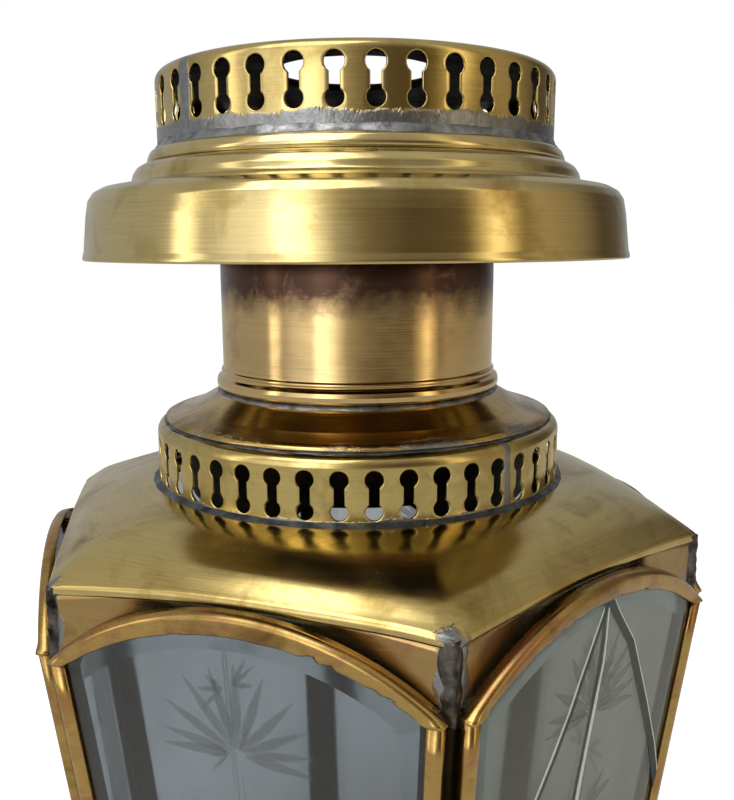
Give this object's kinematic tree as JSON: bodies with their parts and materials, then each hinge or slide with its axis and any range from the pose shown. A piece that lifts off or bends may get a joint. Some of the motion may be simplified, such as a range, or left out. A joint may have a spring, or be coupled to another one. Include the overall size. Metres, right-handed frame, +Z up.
{
  "type": "candle lantern",
  "caption": "Six-sided aged-brass candle lantern with arched bevelled panes, a pierced gallery, a round stack, a rain canopy, a pierced crown and a hinged glazed door.",
  "frame": {"origin": "middle of the foot's underside", "axes": "+Z up the lantern's axis; the body's corners are on +X and -X; the door is on the +Y side"},
  "size_m": [0.2566, 0.2312, 0.4412],
  "materials": {
    "brass": "aged and brushed, warm golden olive",
    "brown_brass": "unpolished, brown",
    "coppered_brass": "pinkish copper bloom",
    "steel": "zinced",
    "glass": "clear with a ground bevel and a wheel-cut leaf",
    "wax": "ivory candle wax",
    "wick": "charred braided cotton"
  },
  "bodies": {
    "lantern": {"base_foot": "brass", "base_tray": "brass", "drip_pan": "brass", "candle_cup": "brass", "holder_screw": "steel", "holder_nut": "steel", "corner_post_1": "brown_brass", "corner_post_2": "brown_brass", "corner_post_3": "brown_brass", "corner_post_4": "brown_brass", "corner_post_5": "brown_brass", "corner_post_6": "brown_brass", "spandrel_1": "coppered_brass", "spandrel_2": "coppered_brass", "spandrel_3": "coppered_brass", "spandrel_4": "coppered_brass", "spandrel_5": "coppered_brass", "spandrel_6": "coppered_brass", "side_1_glass": "glass", "side_1_channel": "brass", "side_1_arch": "brass", "side_2_glass": "glass", "side_2_channel": "brass", "side_2_arch": "brass", "side_3_glass": "glass", "side_3_channel": "brass", "side_3_arch": "brass", "side_5_glass": "glass", "side_5_channel": "brass", "side_5_arch": "brass", "side_6_glass": "glass", "side_6_channel": "brass", "side_6_arch": "brass", "hinge_fixed_low": "brass", "hinge_fixed_high": "brass", "hinge_pin_low": "steel", "hinge_pin_high": "steel", "button_spacer": "brass", "button_rivet": "brass", "roof_hood": "brass", "lower_gallery": "brass", "gallery_cone": "brass", "stack": "brass", "canopy": "brass", "crown_seat": "brass", "crown_gallery": "brass", "crown_cap": "brown_brass"},
    "door": {"door_glass": "glass", "door_channel": "brass", "door_arch": "brass", "door_knob": "brass", "hinge_door_low": "brass", "hinge_door_high": "brass"},
    "turn_button": {"turn_button": "brass"},
    "candle": {"candle": "wax", "wick": "wick"}
  },
  "joints": [
    {"name": "door_hinge", "type": "hinge", "parent": "lantern", "child": "door", "pos_m": [-0.05372, 0.09304, 0.07921], "axis": [-0.0644, 0.1115, 0.9917], "range_deg": [0, 110]},
    {"name": "turn_button_pivot", "type": "hinge", "parent": "lantern", "child": "turn_button", "pos_m": [0, 0.08842, 0.03093], "axis": [0, 0.9937, -0.1117], "range_deg": [0, 90]},
    {"name": "candle_lift", "type": "slide", "parent": "lantern", "child": "candle", "axis": [0, 0, 1], "range_m": [0, 0.03]}
  ]
}
